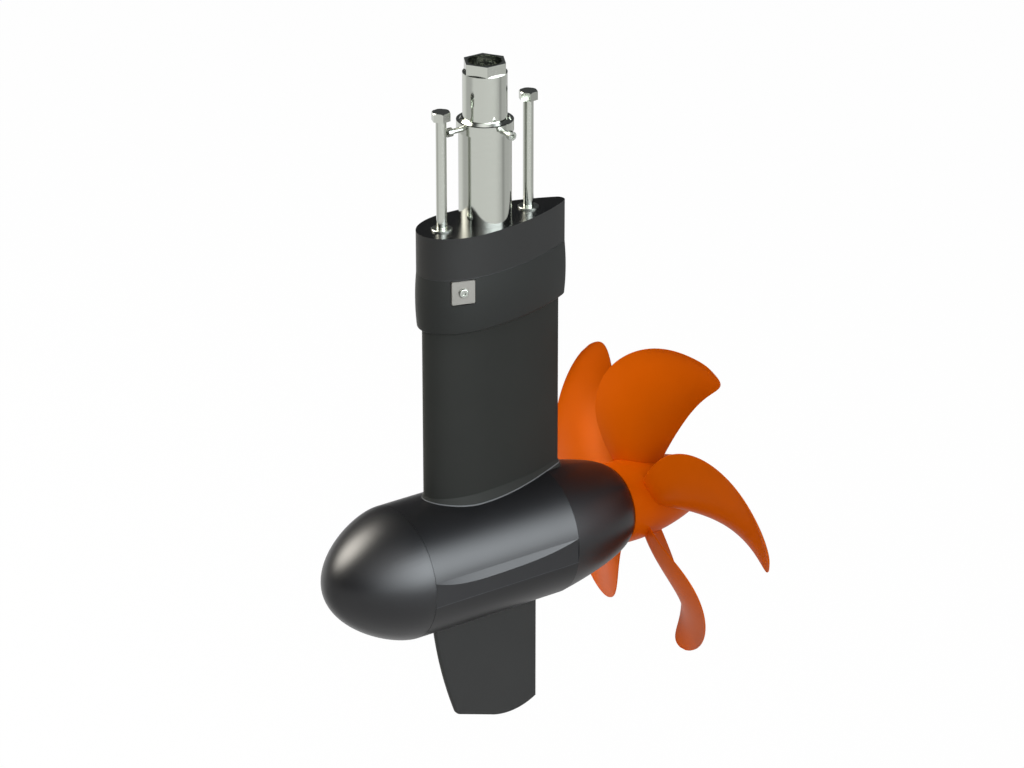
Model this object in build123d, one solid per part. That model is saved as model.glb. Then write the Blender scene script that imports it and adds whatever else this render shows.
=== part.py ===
from build123d import *
import os
from collections import namedtuple
from math import atan2, cos, hypot, pi, radians, sin, sqrt

# Electric pod drive with a fixed stem. Millimetres, +X aft, +Y starboard, +Z up.
# The origin is the stem's axis on the collar's top face, where the hull rests.

# Clearances, and a length that reaches past every piece it cuts
running_gap = 0.05
seat_gap = 0.1
loose_gap = 0.3
beyond = 200.0

# Plan outlines of the leg and its collar: nose, tail, widest place, half width and tail radius
Outline = namedtuple("Outline", "nose tail widest half_width tail_radius")
collar_plan = Outline(-74.5, 91.5, -24.0, 33.5, 7.0)
leg_plan = Outline(-70.8, 84.8, -22.0, 24.0, 5.0)

# Collar heights
upper_collar_height = 41.3
collar_gasket_height = 0.6
lower_collar_height = 55.0
collar_gasket_inset = 0.3
collar_bulge = 1.2
collar_tuck = 0.4
collar_toe_radius = 2.8
gasket_top_z = -upper_collar_height
lower_collar_top_z = gasket_top_z - collar_gasket_height
leg_top_z = lower_collar_top_z - lower_collar_height

# Stem
outer_tube_radius = 25.0
outer_tube_bore = 22.5
outer_tube_lower_bore = 19.5
outer_tube_floor = 6.0
cable_hole_radius = 8.0
inner_tube_radius = 21.1
inner_tube_bore = 16.0
inner_tube_foot_z = -60.0
inner_tube_top_z = 145.2
hex_across_flats = 37.0
hex_height = 10.6
hex_corner_stand = 0.2
ring_radius = 27.0
ring_top_z = 99.0
ring_height = 10.0
ring_lid = 1.5
ring_lip_height = 2.4
ring_lip_radius = 24.4
ring_lip_top_radius = 22.6
clamp_screw_radius = 2.5
clamp_screw_headings = (180.0, -90.0)
clamp_screw_bolt_gap = 1.6
clamp_head_radius = 4.3
clamp_head_height = 5.0
clamp_socket_flats = 4.0
stem_seal_cord = 1.5
stem_seal_depth = 6.3
gland_top_z = 132.0
gland_height = 14.0
gland_bore = 6.0
floor_screw_circle = 13.5
floor_screw_radius = 2.5
floor_screw_count = 4
floor_screw_depth = 20.0
floor_screw_head_radius = 4.25
floor_screw_head_height = 5.0
floor_screw_socket_flats = 4.0

# Hull bolts, M10, fore and aft of the stem
bolt_spacing = 100.0
bolt_radius = 5.0
bolt_neck_radius = 4.9
bolt_head_flats = 16.0
bolt_head_height = 8.4
bolt_head_top_z = 116.2
bolt_foot_z = -64.0
bolt_head_chamfer = 0.9
bolt_head_turn = 8.0
washer_radius = 10.0
washer_bore = 5.3
washer_height = 2.0
washer_chamfer = 0.4
spot_face_depth = 0.4
spot_face_radius = 10.4
bolt_hole_radius = 5.5
insert_radius = 8.0
insert_length = 25.0

# Anode plates on the lower collar
anode_width = 23.4
anode_height = 23.6
anode_thickness = 4.2
anode_gap = 0.4
anode_seam_gap = 0.2
anode_chamfer = 0.6
anode_corner_radius = 1.6
anode_centre_x = -47.0
anode_stand = 1.6
anode_screw_radius = 2.5
anode_screw_length = 12.0
anode_head_radius = 4.5
anode_head_height = 2.4
anode_head_fillet = 0.9
anode_socket_flats = 3.6
anode_socket_depth = 1.4

# Pod
pod_axis_z = -338.0
pod_radius = 66.0
housing_wall = 6.0
shoulder_height = 8.0
housing_front_x = -105.0
housing_back_x = 63.5
flat_half_height = 12.7
nose_tip_x = -184.5
nose_wall = 11.0
spigot_length = 7.5
spigot_wall = 6.0
spigot_seal_inset = 1.5
pod_seal_cord = 1.3
nose_tip_fullness = 0.58
nose_shoulder_run = 22.0
nose_shoulder_ease = 0.3
seam_chamfer = 0.4

# Rear cover
cover_back_x = 150.7
cover_back_radius = 40.6
cover_shoulder_run = 28.7
cover_shoulder_drop = 4.4
cover_tail_run = 11.8
cover_wall = 12.0
cover_hollow_back_x = 122.0
bearing_boss_radius = 29.0
bearing_radius = 23.5
bearing_width = 14.0
bearing_groove_reach = 4.0
bearing_groove_depth = 0.8
rear_bearing_x = 66.0
circlip_width = 1.4
circlip_land = 2.6
circlip_gap = 12.0
shaft_tunnel_radius = 11.0
seal_radius = 16.0
seal_width = 8.0
seal_front_x = 130.0
seal_recess_radius = 24.0

# Front end plate
end_plate_x = -76.0
end_plate_thickness = 8.0
end_plate_boss_radius = 28.0
end_plate_lip = 2.0
end_plate_cable_height = 42.0
end_plate_screw_count = 4
end_plate_screw_radius = 2.0
end_plate_head_radius = 3.4
end_plate_head_height = 3.0
end_plate_screw_depth = 8.0

# Motor
stator_front_x = -30.0
stator_length = 62.0
stator_bore = 38.0
slot_count = 12
slot_width = 8.0
slot_bottom_radius = 52.0
winding_end_length = 9.5
winding_inset = 1.5
winding_bar_inset = 0.5
rotor_length = 58.0
rotor_radius = 34.0
magnet_radius = 37.2
magnet_count = 10
magnet_gap = 2.0

# Shaft
shaft_radius = 10.0
shaft_rotor_radius = 12.0
shaft_front_x = -73.0
shaft_end_play = 0.2
shaft_shoulder_x = 156.0
shaft_tail_radius = 8.0
shaft_thread_radius = 6.0
shaft_thread_reach = 2.0
thrust_washer_radius = 14.0
thrust_washer_thickness = 2.0
pin_radius = 3.0
pin_length = 38.0

# Propeller
hub_gap = 1.5
hub_front_radius = 40.2
hub_middle_run = 40.0
hub_middle_radius = 39.5
hub_back_x = 240.0
hub_back_radius = 29.0
hub_recess_radius = 20.0
hub_back_recess_depth = 16.0
propeller_nut_flats = 19.0
propeller_nut_height = 10.0
propeller_washer_thickness = 2.0
propeller_nut_x = hub_back_x - hub_back_recess_depth
blade_count = 5
blade_tip_radius = 167.4
blade_root_radius = 36.0
blade_buried_radius = 27.0
blade_mid_x = 188.7
blade_heading = -7.2
blade_root_chord = 43.5
blade_chord_growth = 136.0
blade_chord_ease = 18.5
blade_tip_fullness = 4.0
blade_lean = 2.0
blade_skew = 28.0
blade_skew_power = 3.4
blade_rake = 27.5
blade_rake_power = 1.95
blade_root_pitch = 245.0
blade_middle_pitch = 369.0
blade_tip_pitch = 276.0
blade_root_camber = 0.19
blade_tip_camber = -0.045
blade_root_thickness = 7.5
blade_tip_thickness = 2.2
blade_edge_thickness = 1.2
blade_station_count = 9
blade_section_steps = 8
blade_tip_trim = 0.2

# Fin
fin_thickness = 6.0
fin_front_x = -66.5
fin_back_x = 58.9
fin_front_bow = 6.1
fin_toe_x = -37.2
fin_toe_z = -511.6
fin_toe_radius = 8.0
fin_sole_x = 8.0
fin_sole_z = -526.2
fin_lowest_x = 26.0
fin_lowest_z = -528.4
fin_back_z = -519.6
fin_edge_radius = 2.2

# Screws that hold the leg and the fin to the housing, driven from inside
inner_screw_places = (-46.0, 48.0)
cable_entry_x = -60.0
cable_entry_radius = 4.5
leg_screw_radius = 3.0
leg_screw_head_radius = 5.0
leg_screw_head_height = 3.5
leg_screw_length = 28.0
fin_screw_radius = 2.0
fin_screw_head_radius = 3.5
fin_screw_head_height = 3.0
fin_screw_length = 24.0
foot_gasket_thickness = 0.6
foot_gasket_inset = 0.6
foot_flare_rise = 4.2
foot_flare_slope = 0.45
foot_flare_depth = 20.0
foot_cover_gap = 0.5

# Controller in the nose
board_x = -126.0
board_radius = 42.0
board_thickness = 1.6
standoff_radius = 3.0
standoff_circle = 36.5
standoff_count = 4
standoff_stud_reach = 2.0
capacitor_radius = 8.0
capacitor_length = 20.0
capacitor_circle = 22.0
capacitor_count = 3
heat_sink_radius = 31.0
heat_sink_thickness = 10.0
heat_sink_fin_pitch = 8.0
heat_sink_slot_width = 4.0


# General helpers


def upright(radius, bottom, top, x=0.0, y=0.0):
    """Cylinder along Z between two heights."""
    round_bar = Cylinder(radius, top - bottom, align=(Align.CENTER, Align.CENTER, Align.MIN))
    return Pos(x, y, bottom) * round_bar


def lengthwise(radius, front, back, y=0.0, z=pod_axis_z):
    """Cylinder along X between two stations, on the pod's axis unless it is told otherwise."""
    round_bar = Cylinder(radius, back - front, align=(Align.CENTER, Align.CENTER, Align.MIN))
    return Pos(front, y, z) * Rot(0, 90, 0) * round_bar


def hoop(outer, inner, front, back):
    """Ring round the pod's axis."""
    return lengthwise(outer, front, back) - lengthwise(inner, front - 1, back + 1)


def hexagon(flats, height):
    """Hexagonal prism that stands on the XY plane with a corner on X."""
    return extrude(RegularPolygon(flats / 2, 6, major_radius=False), height)


def turned(edges):
    """Solid turned round the pod's axis from a closed outline of X and radius."""
    face = make_face(Wire(edges))
    return Pos(0, 0, pod_axis_z) * revolve(face, Axis.X, 360)


def station(x, radius):
    """Point of a turned outline."""
    return Vector(x, 0, radius)


def grown(plan, by):
    """Plan outline moved outwards by a distance."""
    return Outline(plan.nose - by, plan.tail + by, plan.widest, plan.half_width + by, plan.tail_radius + by)


def flank(plan):
    """Centre and radius of the arc from the widest place to the tail, and its end point."""
    run = plan.tail - plan.tail_radius - plan.widest
    rise = plan.half_width
    small = plan.tail_radius
    radius = (run**2 + rise**2 - small**2) / (2 * (rise - small))
    centre = (plan.widest, rise - radius)
    reach = hypot(run, centre[1])
    end = (centre[0] + radius * run / reach, centre[1] - radius * centre[1] / reach)
    return centre, radius, end


def plan_wire(plan, z):
    """Closed outline at a height: an elliptical nose, two long arcs and a round tail."""
    centre, radius, end = flank(plan)
    middle_angle = (pi / 2 + atan2(end[1] - centre[1], end[0] - centre[0])) / 2
    middle = (centre[0] + radius * cos(middle_angle), centre[1] + radius * sin(middle_angle))
    nose = EllipticalCenterArc(
        (plan.widest, 0), plan.widest - plan.nose, plan.half_width, start_angle=90, arc_size=180
    )
    wide = plan.half_width
    starboard = ThreePointArc((plan.widest, wide), middle, end)
    port = ThreePointArc((end[0], -end[1]), (middle[0], -middle[1]), (plan.widest, -wide))
    tail = ThreePointArc(end, (plan.tail, 0), (end[0], -end[1]))
    edges = [part.edge() for part in (nose, port, tail, starboard)]
    return Pos(0, 0, z) * Wire(edges)


def plan_block(plan, bottom, top):
    """Straight-walled block with a plan outline."""
    return Pos(0, 0, bottom) * extrude(make_face(plan_wire(plan, 0)), top - bottom)


def flank_point(plan, x):
    """Half width of a plan at a station and the outward heading of its starboard wall there."""
    if x < plan.widest:
        share = (plan.widest - x) / (plan.widest - plan.nose)
        half = plan.half_width * sqrt(1 - share**2)
        return half, atan2(half / plan.half_width**2, -share / (plan.widest - plan.nose))
    centre, radius, _ = flank(plan)
    heading = atan2(sqrt(radius**2 - (x - centre[0]) ** 2), x - centre[0])
    return centre[1] + radius * sin(heading), heading


def around(shape, count, axis=(1, 0, 0)):
    """Copies of a shape turned evenly about an axis through the origin."""
    step = 360 / count
    return [Rot(*(step * k * part for part in axis)) * shape for k in range(count)]


def export(name, *solids):
    """Writes one node from its solids."""
    pieces = [solid for shape in solids for solid in shape.solids()]
    shape = pieces[0] if len(pieces) == 1 else Compound(children=pieces)
    export_step(shape, f"parts/{name}.step")


# Collar


def make_upper_collar():
    body = plan_block(collar_plan, gasket_top_z, 0)
    body -= upright(outer_tube_radius + seat_gap, gasket_top_z - 1, 1)
    groove_top = -stem_seal_depth + stem_seal_cord + loose_gap / 2
    groove_bottom = -stem_seal_depth - stem_seal_cord - loose_gap / 2
    groove_radius = outer_tube_radius + seat_gap + 2 * stem_seal_cord + running_gap
    body -= upright(groove_radius, groove_bottom, groove_top)
    for x in (-bolt_spacing / 2, bolt_spacing / 2):
        body -= upright(bolt_hole_radius, gasket_top_z - 1, 1, x)
        body -= upright(spot_face_radius, -spot_face_depth, 1, x)
    return body


def make_stem_seal():
    centre_radius = outer_tube_radius + seat_gap + stem_seal_cord
    return Pos(0, 0, -stem_seal_depth) * Torus(centre_radius, stem_seal_cord)


def make_collar_gasket():
    sheet = plan_block(grown(collar_plan, -collar_gasket_inset), lower_collar_top_z, gasket_top_z)
    sheet -= upright(outer_tube_radius + seat_gap, lower_collar_top_z - 1, 1)
    for x in (-bolt_spacing / 2, bolt_spacing / 2):
        sheet -= upright(bolt_hole_radius, lower_collar_top_z - 1, 1, x)
    return sheet


def lower_collar_shape():
    """Wall that swells a little below the seam, comes back in and turns under to the leg."""
    middle_z = (lower_collar_top_z + leg_top_z) / 2
    walls = [
        (collar_plan, lower_collar_top_z),
        (grown(collar_plan, collar_bulge), middle_z),
        (grown(collar_plan, -collar_tuck), leg_top_z),
    ]
    body = Part() + Solid.make_loft([plan_wire(plan, z) for plan, z in walls])
    return fillet(body.edges().group_by(Axis.Z)[0], collar_toe_radius)


def anode_frame(side):
    """Place on the wall behind an anode: X along the wall, Z outwards, Y up."""
    half, heading = flank_point(collar_plan, anode_centre_x)
    across = anode_width / 2
    sag = half - (flank_point(collar_plan, anode_centre_x - across)[0]
                  + flank_point(collar_plan, anode_centre_x + across)[0]) / 2
    outward = Vector(cos(heading), side * sin(heading), 0)
    along = outward.cross(Vector(0, 0, 1))
    middle_z = lower_collar_top_z - anode_gap - anode_seam_gap - anode_height / 2
    point = Vector(anode_centre_x, side * half, middle_z) - outward * (sag / 2)
    return Plane(origin=point, x_dir=along, z_dir=outward)


def make_lower_collar():
    body = lower_collar_shape()
    body -= upright(outer_tube_radius + seat_gap, leg_top_z - 1, lower_collar_top_z + 1)
    for x in (-bolt_spacing / 2, bolt_spacing / 2):
        insert_bottom = lower_collar_top_z - insert_length
        body -= upright(insert_radius + running_gap, insert_bottom, lower_collar_top_z + 1, x)
    floor_stand = anode_stand - anode_thickness
    pocket = Box(
        anode_width + 2 * anode_gap,
        anode_height + 2 * anode_gap,
        20,
        align=(Align.CENTER, Align.CENTER, Align.MIN),
    )
    pocket = fillet(pocket.edges().filter_by(Axis.Z), anode_corner_radius + anode_gap)
    for side in (-1, 1):
        frame = anode_frame(side)
        body -= frame.location * Pos(0, 0, floor_stand) * pocket
        hole = Cylinder(anode_screw_radius + running_gap, 2 * anode_screw_length)
        body -= frame.location * Pos(0, 0, anode_stand) * hole
    return body


def make_inserts():
    made = []
    for x in (-bolt_spacing / 2, bolt_spacing / 2):
        sleeve = upright(insert_radius, lower_collar_top_z - insert_length, lower_collar_top_z, x)
        bore = upright(bolt_neck_radius + running_gap, bolt_foot_z - 1, 0, x)
        made.append(sleeve - bore)
    return made


def make_anodes():
    plate = Box(
        anode_width, anode_height, anode_thickness, align=(Align.CENTER, Align.CENTER, Align.MIN)
    )
    plate = fillet(plate.edges().filter_by(Axis.Z), anode_corner_radius)
    plate = chamfer(plate.edges().group_by(Axis.Z)[-1], anode_chamfer)
    plate -= Cylinder(anode_screw_radius + seat_gap, 4 * anode_thickness)
    floor_stand = anode_stand - anode_thickness
    return [anode_frame(side).location * Pos(0, 0, floor_stand) * plate for side in (-1, 1)]


def make_anode_screws():
    head = Cylinder(
        anode_head_radius, anode_head_height, align=(Align.CENTER, Align.CENTER, Align.MIN)
    )
    head = fillet(head.edges().sort_by(Axis.Z)[-1], anode_head_fillet)
    socket = hexagon(anode_socket_flats, 2 * anode_socket_depth)
    head -= Pos(0, 0, anode_head_height - anode_socket_depth) * socket
    shank = Cylinder(
        anode_screw_radius, anode_screw_length, align=(Align.CENTER, Align.CENTER, Align.MAX)
    )
    screw = head + shank
    return [anode_frame(side).location * Pos(0, 0, anode_stand) * screw for side in (-1, 1)]


# Stem


def clamp_screw_z():
    return ring_top_z - ring_height / 2


def radial(shape, heading, z):
    """Shape made along +X, turned to a heading round the stem."""
    return Pos(0, 0, z) * Rot(0, 0, heading) * shape


def make_outer_tube():
    top = ring_top_z - ring_lid
    body = upright(outer_tube_radius, leg_top_z, top)
    body -= upright(outer_tube_bore, inner_tube_foot_z, top + 1)
    body -= upright(outer_tube_lower_bore, leg_top_z + outer_tube_floor, top)
    body -= upright(cable_hole_radius, leg_top_z - 1, inner_tube_foot_z)
    for x, y in floor_screw_spots():
        body -= upright(floor_screw_radius + seat_gap, leg_top_z - 1, inner_tube_foot_z, x, y)
    for heading in clamp_screw_headings:
        hole = lengthwise(clamp_screw_radius + running_gap, 0, 2 * ring_radius, z=0)
        body -= radial(hole, heading, clamp_screw_z())
    return body


def floor_screw_spots():
    step = 360 / floor_screw_count
    headings = [radians(step * (k + 0.5)) for k in range(floor_screw_count)]
    return [(floor_screw_circle * cos(a), floor_screw_circle * sin(a)) for a in headings]


def make_floor_screws():
    seat = leg_top_z + outer_tube_floor
    made = []
    for x, y in floor_screw_spots():
        screw = upright(floor_screw_radius, leg_top_z - floor_screw_depth, seat, x, y)
        screw += upright(floor_screw_head_radius, seat, seat + floor_screw_head_height, x, y)
        socket = hexagon(floor_screw_socket_flats, floor_screw_head_height)
        screw -= Pos(x, y, seat + floor_screw_head_height / 2) * socket
        made.append(screw)
    return made


def make_clamp_ring():
    body = upright(ring_radius, ring_top_z - ring_height, ring_top_z)
    lip = Cone(
        ring_lip_radius,
        ring_lip_top_radius,
        ring_lip_height,
        align=(Align.CENTER, Align.CENTER, Align.MIN),
    )
    body += Pos(0, 0, ring_top_z) * lip
    body -= upright(inner_tube_radius + seat_gap, 0, ring_top_z + 2 * ring_lip_height)
    body -= upright(outer_tube_radius + running_gap, 0, ring_top_z - ring_lid)
    for heading in clamp_screw_headings:
        hole = lengthwise(clamp_screw_radius + running_gap, 0, 2 * ring_radius, z=0)
        body -= radial(hole, heading, clamp_screw_z())
    return body


def make_clamp_screws():
    """Socket screws whose points bear on the inner tube and whose heads clear the bolts."""
    made = []
    shank_end = bolt_spacing / 2 - bolt_radius - clamp_screw_bolt_gap - clamp_head_height
    for heading in clamp_screw_headings:
        screw = lengthwise(clamp_screw_radius, inner_tube_radius + running_gap, shank_end, z=0)
        screw += lengthwise(clamp_head_radius, shank_end, shank_end + clamp_head_height, z=0)
        socket = Rot(0, 90, 0) * hexagon(clamp_socket_flats, clamp_head_height)
        socket = Pos(shank_end + clamp_head_height / 2, 0, 0) * socket
        made.append(radial(screw - socket, heading, clamp_screw_z()))
    return made


def make_inner_tube():
    """Round tube whose top is milled to a hollow hexagon for a spanner."""
    body = upright(inner_tube_radius, inner_tube_foot_z, inner_tube_top_z)
    spanner = Pos(0, 0, inner_tube_top_z) * hexagon(hex_across_flats, hex_height)
    crown_radius = inner_tube_radius + hex_corner_stand
    crown = upright(crown_radius, inner_tube_top_z, inner_tube_top_z + hex_height)
    body += spanner & crown
    body -= upright(inner_tube_bore, inner_tube_foot_z - 1, inner_tube_top_z + hex_height + 1)
    return body


def make_cable_gland():
    body = upright(inner_tube_bore - running_gap, gland_top_z - gland_height, gland_top_z)
    body -= upright(gland_bore, gland_top_z - gland_height - 1, gland_top_z + 1)
    return body


# Hull bolts


def make_hull_bolts():
    """Long M10 bolts. The smooth shank starts above the washer and ends under the head."""
    made = []
    head_bottom = bolt_head_top_z - bolt_head_height
    for x in (-bolt_spacing / 2, bolt_spacing / 2):
        bolt = upright(bolt_radius, washer_height - spot_face_depth, head_bottom, x)
        bolt += upright(bolt_neck_radius, bolt_foot_z, washer_height, x)
        head = hexagon(bolt_head_flats, bolt_head_height)
        corner = bolt_head_flats / sqrt(3)
        dome = Cone(
            corner + bolt_head_height,
            corner - bolt_head_chamfer,
            bolt_head_height + bolt_head_chamfer,
            align=(Align.CENTER, Align.CENTER, Align.MAX),
        )
        head = head & (Pos(0, 0, bolt_head_height) * dome)
        bolt += Pos(x, 0, head_bottom) * Rot(0, 0, bolt_head_turn) * head
        made.append(bolt)
    return made


def make_hull_washers():
    made = []
    for x in (-bolt_spacing / 2, bolt_spacing / 2):
        bottom = -spot_face_depth
        disc = upright(washer_radius, bottom, bottom + washer_height, x)
        disc = chamfer(disc.edges().group_by(Axis.Z)[-1], washer_chamfer)
        made.append(disc - upright(washer_bore, bottom - 1, bottom + washer_height + 1, x))
    return made


# Leg and fin


def foot_flare_z():
    """Height at which the leg starts to widen towards the pod."""
    return pod_axis_z + pod_radius + foot_flare_rise


def foot_flare(inset):
    """Sloping foot between the straight leg and the pod, moved inwards by an inset."""
    low_plan = grown(leg_plan, foot_flare_slope * foot_flare_depth)
    top_wire = plan_wire(grown(leg_plan, -inset), foot_flare_z())
    low_wire = plan_wire(grown(low_plan, -inset), foot_flare_z() - foot_flare_depth)
    return Part() + Solid.make_loft([top_wire, low_wire], ruled=True)


def cable_passage(radius):
    """Slanting way for the motor's cable from the foot of the stem into the pod."""
    top = Vector(0, 0, leg_top_z + outer_tube_floor)
    bottom = Vector(cable_entry_x, 0, pod_axis_z + pod_radius - 2 * housing_wall)
    way = bottom - top
    bar = Cylinder(radius, way.length, align=(Align.CENTER, Align.CENTER, Align.MIN))
    return Plane(origin=top, z_dir=way).location * bar


def make_leg():
    body = plan_block(leg_plan, foot_flare_z(), leg_top_z) + foot_flare(0)
    over_gasket = pod_radius + foot_gasket_thickness + running_gap
    body -= lengthwise(over_gasket, -beyond, housing_back_x + foot_cover_gap)
    body -= cover_shape(foot_cover_gap)
    body -= cable_passage(cable_entry_radius)
    for x, y in floor_screw_spots():
        hole_bottom = leg_top_z - floor_screw_depth - 1
        body -= upright(floor_screw_radius + running_gap, hole_bottom, leg_top_z + 1, x, y)
    for x in inner_screw_places:
        top = leg_screw_seat_z() + leg_screw_length + 1
        body -= upright(leg_screw_radius + running_gap, pod_axis_z, top, x)
    return body


def make_foot_gasket():
    sheet = foot_flare(foot_gasket_inset) & lengthwise(pod_radius + foot_gasket_thickness, -beyond, beyond)
    sheet -= lengthwise(pod_radius + running_gap, -beyond, beyond)
    sheet -= lengthwise(2 * pod_radius, housing_back_x - foot_gasket_inset, beyond)
    sheet -= cable_passage(cable_entry_radius)
    for x in inner_screw_places:
        sheet -= upright(leg_screw_radius + seat_gap, pod_axis_z, 0, x)
    return sheet


def leg_screw_seat_z():
    """Height of the spot face inside the housing that a leg screw's head bears on."""
    inner = pod_radius - housing_wall
    return pod_axis_z + inner + loose_gap


def fin_screw_seat_z():
    inner = pod_radius - housing_wall
    return pod_axis_z - inner - loose_gap


def make_leg_screws():
    seat = leg_screw_seat_z()
    made = []
    for x in inner_screw_places:
        screw = upright(leg_screw_radius, seat - 1, seat + leg_screw_length, x)
        screw += upright(leg_screw_head_radius, seat - leg_screw_head_height, seat, x)
        made.append(screw)
    return made


def make_fin():
    top_z = pod_axis_z - pod_radius / 2
    front_middle = ((fin_front_x + fin_toe_x) / 2 - fin_front_bow, (top_z + fin_toe_z) / 2)
    front = ThreePointArc((fin_front_x, top_z), front_middle, (fin_toe_x, fin_toe_z))
    sole = Line((fin_toe_x, fin_toe_z), (fin_sole_x, fin_sole_z))
    heel = ThreePointArc((fin_sole_x, fin_sole_z), (fin_lowest_x, fin_lowest_z), (fin_back_x, fin_back_z))
    back = Polyline((fin_back_x, fin_back_z), (fin_back_x, top_z), (fin_front_x, top_z))
    outline = make_face(Wire([e for part in (front, sole, heel, back) for e in part.edges()]))
    toe = outline.vertices().sort_by_distance((fin_toe_x, fin_toe_z))[0]
    outline = fillet(toe, fin_toe_radius)
    plate = extrude(Plane.XZ * outline, fin_thickness / 2, both=True)
    rims = [e for e in plate.edges() if abs(e.center().Y) > fin_thickness / 4 and e.center().Z < top_z - 1]
    plate = fillet(rims, fin_edge_radius)
    plate -= lengthwise(pod_radius + running_gap, -beyond, beyond)
    for x in inner_screw_places:
        bottom = fin_screw_seat_z() - fin_screw_length - 1
        plate -= upright(fin_screw_radius + running_gap, bottom, pod_axis_z, x)
    return plate


def make_fin_screws():
    seat = fin_screw_seat_z()
    made = []
    for x in inner_screw_places:
        screw = upright(fin_screw_radius, seat - fin_screw_length, seat + 1, x)
        screw += upright(fin_screw_head_radius, seat, seat + fin_screw_head_height, x)
        made.append(screw)
    return made


# Pod casings


def seal_groove(front, outer_radius):
    """Groove round a spigot and the O-ring that fills it."""
    cord = pod_seal_cord
    width = 2 * cord + loose_gap
    middle = front + width / 2
    groove = hoop(outer_radius + 1, outer_radius - 2 * cord, front, front + width)
    ring = Pos(middle, 0, pod_axis_z) * Rot(0, 90, 0) * Torus(outer_radius - cord + running_gap / 2, cord)
    return groove, ring


def make_motor_housing():
    inner = pod_radius - housing_wall
    shoulder = inner - shoulder_height
    spigot_back = housing_front_x + spigot_length
    body = lengthwise(pod_radius, housing_front_x, housing_back_x)
    flat_y = sqrt(pod_radius**2 - flat_half_height**2)
    slab = Box(2 * beyond, 2 * flat_y, 4 * pod_radius)
    body = body & (Pos(0, 0, pod_axis_z) * slab)
    body -= lengthwise(inner, housing_front_x - 1, spigot_back)
    body -= lengthwise(shoulder, spigot_back - 1, end_plate_x + 1)
    body -= lengthwise(inner, end_plate_x, housing_back_x + 1)
    for x in inner_screw_places:
        leg_seat = leg_screw_seat_z()
        body -= upright(leg_screw_radius + seat_gap, pod_axis_z, pod_axis_z + 2 * pod_radius, x)
        body -= upright(leg_screw_head_radius + loose_gap, pod_axis_z, leg_seat, x)
        fin_seat = fin_screw_seat_z()
        body -= upright(fin_screw_radius + seat_gap, pod_axis_z - 2 * pod_radius, pod_axis_z, x)
        body -= upright(fin_screw_head_radius + loose_gap, fin_seat, pod_axis_z, x)
    body -= cable_passage(cable_entry_radius)
    for y, z in end_plate_screw_spots():
        hole_front = end_plate_x - end_plate_screw_depth - 1
        body -= lengthwise(end_plate_screw_radius + running_gap, hole_front, end_plate_x + 1, y, z)
    return body


def nose_outline(inset):
    """Long rounded nose from its tip to the seam, moved inwards by the wall."""
    tip = nose_tip_x + inset
    radius = pod_radius - inset
    seam = housing_front_x
    return Bezier(
        station(tip, 0),
        station(tip, nose_tip_fullness * radius),
        station(seam - nose_shoulder_run + nose_shoulder_ease * inset, radius),
        station(seam, radius),
    )


def eased(body, x):
    """Body with the rim that it shows at a seam chamfered."""
    rims = [e for e in body.edges() if abs(e.center().X - x) < 0.01 and e.geom_type == GeomType.CIRCLE]
    return chamfer(rims, seam_chamfer)


def make_nose_cone():
    outside = nose_outline(0)
    seam = housing_front_x
    close = Polyline(station(seam, pod_radius), station(seam, 0), station(nose_tip_x, 0))
    body = eased(turned([outside.edge(), *close.edges()]), seam)
    spigot_radius = pod_radius - housing_wall - running_gap
    body += lengthwise(spigot_radius, seam, seam + spigot_length - seat_gap)
    bore = pod_radius - nose_wall
    inside = nose_outline(nose_wall)
    close_in = Polyline(station(seam, bore), station(seam, 0), station(nose_tip_x + nose_wall, 0))
    body -= turned([inside.edge(), *close_in.edges()])
    body -= lengthwise(bore, seam - 1, seam + spigot_length)
    body -= seal_groove(seam + spigot_seal_inset, spigot_radius)[0]
    return body


def make_nose_seal():
    spigot_radius = pod_radius - housing_wall - running_gap
    return seal_groove(housing_front_x + spigot_seal_inset, spigot_radius)[1]


def rear_seal_x():
    return housing_back_x - spigot_seal_inset - 2 * pod_seal_cord - loose_gap


def cover_shape(margin):
    """Solid shape of the rear cover's outside, grown by a margin."""
    front = housing_back_x
    front_radius = pod_radius + margin
    back_radius = cover_back_radius + margin
    outside = Bezier(
        station(front, front_radius),
        station(front + cover_shoulder_run, front_radius - cover_shoulder_drop),
        station(cover_back_x - cover_tail_run, back_radius + cover_tail_run),
        station(cover_back_x, back_radius),
    )
    close = Polyline(
        station(cover_back_x, back_radius),
        station(cover_back_x, 0),
        station(front, 0),
        station(front, front_radius),
    )
    return turned([outside.edge(), *close.edges()])


def make_rear_cover():
    body = eased(cover_shape(0), housing_back_x)
    spigot_radius = pod_radius - housing_wall - running_gap
    front = housing_back_x - spigot_length
    body += lengthwise(spigot_radius, front, housing_back_x)
    hollow = cover_shape(-cover_wall) & lengthwise(pod_radius, housing_back_x, cover_hollow_back_x)
    body -= hollow - lengthwise(bearing_boss_radius, housing_back_x, cover_back_x)
    body -= lengthwise(spigot_radius - spigot_wall, front - 1, housing_back_x)
    body += lengthwise(bearing_boss_radius, front, housing_back_x)
    body -= lengthwise(bearing_radius + running_gap, front - 1, rear_bearing_x + bearing_width)
    clip_front = rear_bearing_x - circlip_width - seat_gap
    body -= lengthwise(bearing_radius + circlip_land / 2, clip_front, rear_bearing_x)
    body -= lengthwise(shaft_tunnel_radius, front - 1, cover_back_x + 1)
    body -= lengthwise(seal_radius + running_gap, seal_front_x, cover_back_x + 1)
    body -= lengthwise(seal_recess_radius, seal_front_x + 2 * seal_width, cover_back_x + 1)
    body -= seal_groove(rear_seal_x(), spigot_radius)[0]
    return body


def make_rear_seal():
    spigot_radius = pod_radius - housing_wall - running_gap
    return seal_groove(rear_seal_x(), spigot_radius)[1]


# Bearings, end plate and seals


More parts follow.
